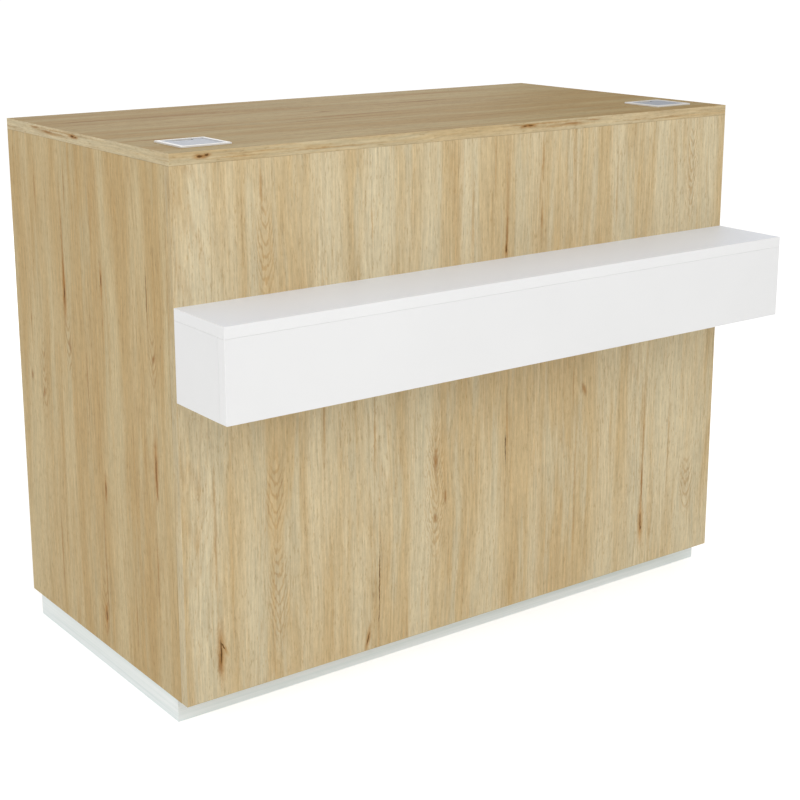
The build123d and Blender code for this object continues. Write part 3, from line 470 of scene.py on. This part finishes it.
def oakDecor(name, grain, seed, tone=1.0, warmth=0.0, marks=None, sheen=0.15):
    material, tree = newMaterial(name)
    add = partial(addNode, tree)
    board = boardFrame(add, grain)
    fields, place = grainFields(add, board, seed)
    colour, pores = grainColour(add, fields)
    if marks is None:
        colour = looseKnots(add, place, colour)
    else:
        colour = boardMarks(add, board, fields, marks, colour)
    # fine fibres lighten and darken all a little; the board's tone lies over all, on the top as painted
    # shade
    fineTone = add("ShaderNodeMix", {
        0: oakValues["mottleShare"], 2: fields["fibres"], 3: fields["mottle"]}, data_type="FLOAT")
    darkest, lightest = oakValues["fineTone"]
    red = add("ShaderNodeMapRange", {
        0: fineTone, 1: noiseLow, 2: noiseHigh, 3: darkest * tone, 4: lightest * tone})
    green = add("ShaderNodeMath", {0: red, 1: 1 - oakValues["greenWarmth"] * warmth}, operation="MULTIPLY")
    blue = add("ShaderNodeMath", {0: red, 1: 1 - warmth}, operation="MULTIPLY")
    toned = add("ShaderNodeMix", {
        0: 1.0, 6: colour, 7: add("ShaderNodeCombineColor", {0: red, 1: green, 2: blue})},
        out=2, data_type="RGBA", blend_type="MULTIPLY")
    height = add("ShaderNodeMath", {
        0: pores, 1: -oakValues["poreDepth"], 2: fields["fibres"]}, operation="MULTIPLY_ADD")
    bump = add("ShaderNodeBump", {
        "Height": height, "Strength": oakValues["bump"], "Distance": oakValues["bumpHeight"]})
    dull = add("ShaderNodeMath", {
        0: pores, 1: oakValues["poreRoughness"], 2: oakValues["roughness"]}, operation="MULTIPLY_ADD")
    surface = add("ShaderNodeBsdfPrincipled", {
        "Base Color": toned, "Roughness": dull, "Normal": bump, "IOR": oakValues["ior"],
        "Specular IOR Level": sheen})
    add("ShaderNodeOutputMaterial", {"Surface": surface})
    return material


whiteValues = {
    "cloud": 250 * mm,     # a slow change of tone across a board
    "cloudTone": 0.97,     # of the plain white, in its darkest places
    "glossSpread": 0.05,
    "bump": 0.25,
    "ior": 1.5,
    "sheen": 0.4,
}


def satinWhite(name, colour, grainMm, roughness, bumpMm):
    # an even white with a fine pearl texture that softens its gloss
    material, tree = newMaterial(name)
    add = partial(addNode, tree)
    place = add("ShaderNodeTexCoord", out="Object")
    pearl = add("ShaderNodeTexNoise", {
        "Vector": place, "Scale": 1 / (grainMm * mm), "Detail": 3.0, "Roughness": 0.6})
    cloud = add("ShaderNodeTexNoise", {"Vector": place, "Scale": 1 / whiteValues["cloud"], "Detail": 2.0})
    shade = add("ShaderNodeMapRange", {
        0: cloud, 1: noiseLow, 2: noiseHigh, 3: whiteValues["cloudTone"], 4: 1.0})
    tinted = add("ShaderNodeMix", {
        0: 1.0, 6: linear(colour), 7: add("ShaderNodeCombineColor", {0: shade, 1: shade, 2: shade})},
        out=2, data_type="RGBA", blend_type="MULTIPLY")
    spread = whiteValues["glossSpread"]
    dull = add("ShaderNodeMapRange", {
        0: pearl, 1: noiseLow, 2: noiseHigh, 3: roughness - spread, 4: roughness + spread})
    bump = add("ShaderNodeBump", {
        "Height": pearl, "Strength": whiteValues["bump"], "Distance": bumpMm * mm})
    surface = add("ShaderNodeBsdfPrincipled", {
        "Base Color": tinted, "Roughness": dull, "Normal": bump, "IOR": whiteValues["ior"],
        "Specular IOR Level": whiteValues["sheen"]})
    add("ShaderNodeOutputMaterial", {"Surface": surface})
    return material


drawnValues = {
    "fineLengthMm": 260,      # fine streaks: their width is each finish's own
    "wideMm": 9,              # wide ones, which change the tone slowly
    "wideLengthMm": 700,
    "toneEdges": (0.75, 1.25),
    "glossSpread": 0.08,
    "bump": 0.15,
    "bumpHeight": 0.1 * mm,
}


def drawnMetal(name, light, dark, roughness, axis, streakMm=1.2, metallic=1.0):
    # brushed or drawn along one axis: long fine streaks in tone, gloss and height
    material, tree = newMaterial(name)
    add = partial(addNode, tree)
    place = add("ShaderNodeTexCoord", out="Object")
    layers = []
    fine = (streakMm, drawnValues["fineLengthMm"], 4.0)
    wide = (drawnValues["wideMm"], drawnValues["wideLengthMm"], 2.0)
    for acrossMm, alongMm, detail in (fine, wide):
        scale = [1 / (acrossMm * mm)] * 3
        scale[axis] = 1 / (alongMm * mm)
        cells = add("ShaderNodeMapping", {"Vector": place, "Scale": scale})
        layers.append(add("ShaderNodeTexNoise", {
            "Vector": cells, "Scale": 1.0, "Detail": detail, "Roughness": 0.6}))
    both = add("ShaderNodeMath", {0: layers[0], 1: layers[1]}, operation="ADD")
    darkest, lightest = drawnValues["toneEdges"]
    factor = add("ShaderNodeMapRange", {0: both, 1: darkest, 2: lightest})
    colour = add("ShaderNodeMix", {0: factor, 6: linear(dark), 7: linear(light)}, out=2, data_type="RGBA")
    spread = drawnValues["glossSpread"]
    gloss = add("ShaderNodeMapRange", {
        0: layers[0], 1: noiseLow, 2: noiseHigh, 3: roughness + spread, 4: roughness - spread})
    bump = add("ShaderNodeBump", {
        "Height": layers[0], "Strength": drawnValues["bump"], "Distance": drawnValues["bumpHeight"]})
    surface = add("ShaderNodeBsdfPrincipled", {
        "Base Color": colour, "Roughness": gloss, "Normal": bump, "Metallic": metallic})
    add("ShaderNodeOutputMaterial", {"Surface": surface})
    return material


speckValues = {"toneEdges": (0.35, 0.65), "glossSpread": 0.05, "bump": 0.3}


def speckled(name, light, dark, grainMm, roughness, metallic=0.0, bumpMm=0.05):
    # cast, plated, moulded or pressed: a fine random grain in tone, gloss and height
    material, tree = newMaterial(name)
    add = partial(addNode, tree)
    place = add("ShaderNodeTexCoord", out="Object")
    grain = add("ShaderNodeTexNoise", {
        "Vector": place, "Scale": 1 / (grainMm * mm), "Detail": 4.0, "Roughness": 0.6})
    darkest, lightest = speckValues["toneEdges"]
    factor = add("ShaderNodeMapRange", {0: grain, 1: darkest, 2: lightest})
    colour = add("ShaderNodeMix", {0: factor, 6: linear(dark), 7: linear(light)}, out=2, data_type="RGBA")
    spread = speckValues["glossSpread"]
    gloss = add("ShaderNodeMapRange", {
        0: grain, 1: noiseLow, 2: noiseHigh, 3: roughness + spread, 4: roughness - spread})
    bump = add("ShaderNodeBump", {"Height": grain, "Strength": speckValues["bump"], "Distance": bumpMm * mm})
    surface = add("ShaderNodeBsdfPrincipled", {
        "Base Color": colour, "Roughness": gloss, "Normal": bump, "Metallic": metallic})
    add("ShaderNodeOutputMaterial", {"Surface": surface})
    return material


# One entry for each finish that differs. Most real grains here are under half a millimetre. They are drawn
# about a millimetre coarse, because finer ones don't show.
finishes = {
    # oak decor boards, each with its tone and warmth: the top's low tone is painted shade for how the light
    # darkens it, and edge bands have their own grain along their length
    # the top's tone of 0.66 is painted shade: it darkens the board the way the light falls on it
    "top_panel": oakDecor("oakDecorTopPaintedShade", "lying", (0.3, 1.7, 0.9), 0.66, 0.29, topMarks, sheen=0.02),
    "top_edge_bands": oakDecor(
        "oakBandRoundTop", ("lyingFront", "lyingSide"), (2.3, 0.4, 0.2), 0.94, 0.05, bandMarks),
    "front_panel": oakDecor("oakDecorFront", "uprightFront", (4.0, 0.0, 0.6), 1.0, 0.0, frontMarks),
    "side_panel_left": oakDecor("oakDecorLeft", "uprightSide", (6.3, 2.2, 0.1), 0.90, 0.19, leftMarks),
    "side_panel_right": oakDecor("oakDecorRight", "uprightSide", (8.1, 3.4, 0.8), 0.94, 0.04),
    "divider_panel": oakDecor("oakDecorDivider", "uprightSide", (9.7, 1.1, 0.3), 0.94, 0.04),
    "bottom_panel": oakDecor("oakDecorBottom", "lying", (11.2, 5.2, 0.5), 0.92, 0.04),
    "drawer_bay_shelf": oakDecor("oakDecorShelfOne", "lying", (12.9, 4.1, 0.7), 0.94, 0.03),
    "open_bay_shelf_lower": oakDecor("oakDecorShelfTwo", "lying", (14.4, 6.3, 0.2), 0.94, 0.03),
    "open_bay_shelf_upper": oakDecor("oakDecorShelfThree", "lying", (15.8, 7.7, 0.4), 0.94, 0.03),
    "drawer_front": oakDecor("oakDecorDrawer", "lyingFront", (17.3, 8.2, 0.6), 0.98, 0.02),
    "drawer_front_edge_bands": oakDecor("oakBandDrawer", "lyingFront", (18.6, 9.1, 0.1), 0.96, 0.04),
    "vertical_edge_bands": oakDecor("oakBandUpright", "uprightSide", (19.9, 3.3, 0.9), 0.94, 0.05),
    "horizontal_edge_bands": oakDecor("oakBandLying", "lyingFront", (21.1, 2.8, 0.7), 0.96, 0.04),
    # white melamine chipboard: a satin pearl. The shelf's top gets a painted cool tint against warm light on
    # it
    "bag_shelf_front": satinWhite("whiteMelamine", "#f3f3f3", 1.4, 0.42, 0.05),
    # painted light: this cooler white offsets the warm light that falls on the shelf's top
    "bag_shelf_top": satinWhite("whiteMelamineTopPaintedLight", "#f0f4fc", 1.4, 0.42, 0.05),
    # moulded ABS edging: the same white, a little glossier and finer
    "bag_shelf_edge_bands": satinWhite("whiteAbsEdgeBand", "#f5f5f5", 0.9, 0.36, 0.03),
    # lacquered hardboard: a dull off-white with a soft press grain
    "drawer_bottom": speckled("whiteHardboard", "#ecebe6", "#e0ded7", 1.8, 0.55),
    # brushed aluminium foil under a milky lacquer, which hides most of the metal: pale, nearly white, with
    # long streaks and a soft gloss
    "plinth_front": drawnMetal("brushedAluminiumX", "#fbffff", "#e9f2f1", 0.42, 0, metallic=0.1),
    "plinth_left": drawnMetal("brushedAluminiumY", "#fbffff", "#eaf3f2", 0.42, 1, metallic=0.1),
    # brushed stainless steel tube: fine lines of light along the bar
    "drawer_handle": drawnMetal("brushedSteel", "#c9c9c6", "#a8a8a5", 0.3, 0, 0.5),
    # moulded ABS, and nylon for the feet: an even colour with a faint spark-eroded grain
    "grommet_frame_left": speckled("whiteMouldedAbs", "#e6e4e0", "#dddbd7", 0.8, 0.45),
    "grommet_lid_left": speckled("silverMouldedAbs", "#a3a7b1", "#9297a1", 0.5, 0.5),
    "levelling_foot_front_left": speckled("blackNylon", "#1d1d1e", "#121213", 0.7, 0.5),
    # turned beech: warm, matt and finely flecked
    "wood_dowels": speckled("beechDowel", "#d3ab77", "#b98d58", 1.0, 0.6),
    # die-cast zinc is dull and mottled, plated steel is brighter, nickel is warm and the glossiest
    "cam_housings": speckled("dieCastZinc", "#a9abad", "#8c8e90", 0.9, 0.42, 1.0),
    "cam_bolts": speckled("zincPlatedSteel", "#c6c8c9", "#a8abad", 1.2, 0.3, 1.0, 0.02),
    "shelf_pins": speckled("nickelPlate", "#d0cdc6", "#bbb8b1", 0.9, 0.22, 1.0, 0.01),
}
sameAs = {
    "plinth_back": "plinth_front", "plinth_right": "plinth_left",
    "grommet_frame_right": "grommet_frame_left", "grommet_lid_right": "grommet_lid_left",
    "levelling_foot_front_right": "levelling_foot_front_left",
    "levelling_foot_back_left": "levelling_foot_front_left",
    "levelling_foot_back_right": "levelling_foot_front_left",
    "bag_shelf_end_left": "bag_shelf_front", "bag_shelf_end_right": "bag_shelf_front",
    "bag_shelf_bottom": "bag_shelf_front", "bag_shelf_back_rail": "bag_shelf_front",
    "drawer_side_left": "bag_shelf_front", "drawer_side_right": "bag_shelf_front",
    "drawer_back": "bag_shelf_front", "drawer_dowels": "wood_dowels",
    "lock_housing": "shelf_pins", "lock_nut": "shelf_pins",
    "lock_plug": "shelf_pins", "drawer_key": "shelf_pins",
}
otherSteel = "cam_bolts"   # slides, screws, the lock's cam and its strike plate
for node, piece in nodes.items():
    if node not in finishes:
        finishes[node] = finishes[sameAs.get(node, otherSteel)]
    for slot in piece.material_slots:
        slot.material = finishes[node]
print("finishes given to", len(nodes), "pieces")


# Pan or countersunk heads with a cross recess, one tree for all of them. The points carry the way out.
# A head's radii at its seat and outside, and the reach of its recess, are shares of its greatest radius.
screwValues = {
    "cabinet_screws": {"inner": 1.0, "outer": 0.86, "recessReach": 0.62},
    "slide_drawer_screws": {"inner": 1.0, "outer": 0.86, "recessReach": 0.62},
    "drawer_handle_screws": {"inner": 1.0, "outer": 0.72, "recessReach": 0.6},
    "bag_shelf_screws": {"inner": 0.55, "outer": 1.0, "recessReach": 0.55},
}
screwShape = {
    "headSides": 32,
    "shankSides": 16,
    "tip": 0.5,          # the shank's radius at its tip, as a share of its own
    "recessWidth": 0.4,  # of each bar of the cross, as a share of the recess's reach
}


def screwTree():
    tree = bpy.data.node_groups.new("crossScrews", "GeometryNodeTree")
    tree.interface.new_socket("Geometry", in_out="INPUT", socket_type="NodeSocketGeometry")
    sizes = ("Inner Radius", "Outer Radius", "Head Height", "Shank Radius", "Shank Length", "Recess Reach")
    for name in sizes:
        tree.interface.new_socket(name, in_out="INPUT", socket_type="NodeSocketFloat")
    tree.interface.new_socket("Finish", in_out="INPUT", socket_type="NodeSocketMaterial")
    tree.interface.new_socket("Geometry", in_out="OUTPUT", socket_type="NodeSocketGeometry")
    add = partial(addNode, tree)
    given = add("NodeGroupInput").node.outputs
    head = add("GeometryNodeMeshCone", {
        "Vertices": screwShape["headSides"], "Depth": given["Head Height"],
        "Radius Top": given["Outer Radius"], "Radius Bottom": given["Inner Radius"]})
    cut = add("GeometryNodeMeshBoolean", {"Mesh 1": head}, operation="DIFFERENCE").node
    # two crossed bars reach half-way down into the head
    lift = add("ShaderNodeCombineXYZ", {2: given["Head Height"]})
    barLength = add("ShaderNodeMath", {0: given["Recess Reach"], 1: 2.0}, operation="MULTIPLY")
    barWidth = add("ShaderNodeMath", {
        0: given["Recess Reach"], 1: screwShape["recessWidth"]}, operation="MULTIPLY")
    for sizeX, sizeY in ((barLength, barWidth), (barWidth, barLength)):
        barSize = add("ShaderNodeCombineXYZ", {0: sizeX, 1: sizeY, 2: given["Head Height"]})
        bar = add("GeometryNodeMeshCube", {"Size": barSize})
        lifted = add("GeometryNodeTransform", {"Geometry": bar, "Translation": lift})
        tree.links.new(lifted, cut.inputs["Mesh 2"])
    tipRadius = add("ShaderNodeMath", {
        0: given["Shank Radius"], 1: screwShape["tip"]}, operation="MULTIPLY")
    shank = add("GeometryNodeMeshCone", {
        "Vertices": screwShape["shankSides"], "Depth": given["Shank Length"],
        "Radius Top": tipRadius, "Radius Bottom": given["Shank Radius"]})
    down = add("GeometryNodeTransform", {"Geometry": shank, "Rotation": (math.pi, 0, 0)})
    both = add("GeometryNodeJoinGeometry").node
    for part in (down, cut.outputs[0]):
        tree.links.new(part, both.inputs[0])
    outward = add("GeometryNodeInputNamedAttribute", {"Name": "outward"}, data_type="FLOAT_VECTOR")
    turn = add("FunctionNodeAlignRotationToVector", {"Vector": outward}, axis="Z")
    placed = add("GeometryNodeInstanceOnPoints", {
        "Points": given["Geometry"], "Instance": both.outputs[0], "Rotation": turn})
    real = add("GeometryNodeRealizeInstances", {"Geometry": placed})
    done = add("GeometryNodeSetMaterial", {"Geometry": real, "Material": given["Finish"]})
    add("NodeGroupOutput", {0: done})
    return tree


# How a CAD screw is read. Points past rimFrom of its greatest radius are its head's, and those nearer the
# middle than shankFrom belong to no wall.
screwReading = {"rimFrom": 0.9, "shankFrom": 0.2, "mergeGap": 1e-6, "levelGap": 1e-5}


def solidsOf(node):
    # the points of each separate solid of a CAD node
    shape = bmesh.new()
    shape.from_mesh(nodes[node].data)
    bmesh.ops.remove_doubles(shape, verts=shape.verts, dist=screwReading["mergeGap"])
    left, solids = set(shape.verts), []
    while left:
        reached, edge = set(), [left.pop()]
        while edge:
            vert = edge.pop()
            reached.add(vert)
            near = {e.other_vert(vert) for e in vert.link_edges} & left
            left -= near
            edge += near
        solids.append([vert.co.copy() for vert in reached])
    shape.free()
    return solids


def screwSizes(points):
    # where a screw's head sits, the way out of its hole, and its radii and lengths
    low = [min(p[i] for p in points) for i in range(3)]
    high = [max(p[i] for p in points) for i in range(3)]
    axis = max(range(3), key=lambda i: high[i] - low[i])
    centre = Vector([(a + b) / 2 for a, b in zip(low, high)])
    away = {p: math.dist([p[i] for i in range(3) if i != axis], [centre[i] for i in range(3) if i != axis])
            for p in map(tuple, points)}
    headRadius = max(away.values())
    rim = screwReading["rimFrom"] * headRadius
    core = screwReading["shankFrom"] * headRadius
    head = [p[axis] for p, r in away.items() if r > rim]
    shank = [r for r in away.values() if core < r < rim]
    outwards = 1 if max(head) > high[axis] - screwReading["levelGap"] else -1
    seat = centre.copy()
    seat[axis] = min(head) if outwards > 0 else max(head)
    way = Vector((0, 0, 0))
    way[axis] = outwards
    headHeight = max(head) - min(head)
    return {"seat": seat, "way": way, "headRadius": headRadius, "headHeight": headHeight,
            "shankRadius": max(shank), "shankLength": high[axis] - low[axis] - headHeight}


crossScrews = screwTree()
screwSockets = {
    item.name: item.identifier for item in crossScrews.interface.items_tree if item.in_out == "INPUT"}
for node, values in screwValues.items():
    read = [screwSizes(points) for points in solidsOf(node)]
    screws = sorted(read, key=lambda screw: tuple(screw["seat"]))
    one = screws[0]
    pointsMesh = bpy.data.meshes.new(node + "_points")
    pointsMesh.from_pydata([screw["seat"] for screw in screws], [], [])
    pointsMesh.materials.append(finishes[node])
    pointsMesh.attributes.new("outward", "FLOAT_VECTOR", "POINT")
    for slot, screw in zip(pointsMesh.attributes["outward"].data, screws):
        slot.vector = screw["way"]
    holder = bpy.data.objects.new(node + "_holder", pointsMesh)
    bpy.context.scene.collection.objects.link(holder)
    maker = holder.modifiers.new("screws", "NODES")
    maker.node_group = crossScrews
    for name, value in {
        "Inner Radius": one["headRadius"] * values["inner"],
        "Outer Radius": one["headRadius"] * values["outer"],
        "Head Height": one["headHeight"],
        "Shank Radius": one["shankRadius"],
        "Shank Length": one["shankLength"],
        "Recess Reach": one["headRadius"] * values["recessReach"],
        "Finish": finishes[node],
    }.items():
        maker[screwSockets[name]] = value
    evaluated = holder.evaluated_get(bpy.context.evaluated_depsgraph_get())
    plain = bpy.data.meshes.new_from_object(evaluated)
    bpy.data.objects.remove(holder)
    piece = bpy.data.objects.new("cross_" + node, plain)
    bpy.context.scene.collection.objects.link(piece)
    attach(piece, nodes[node]["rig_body"])
    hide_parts(node)
    print(node, len(screws), "screws,", len(plain.polygons), "faces")
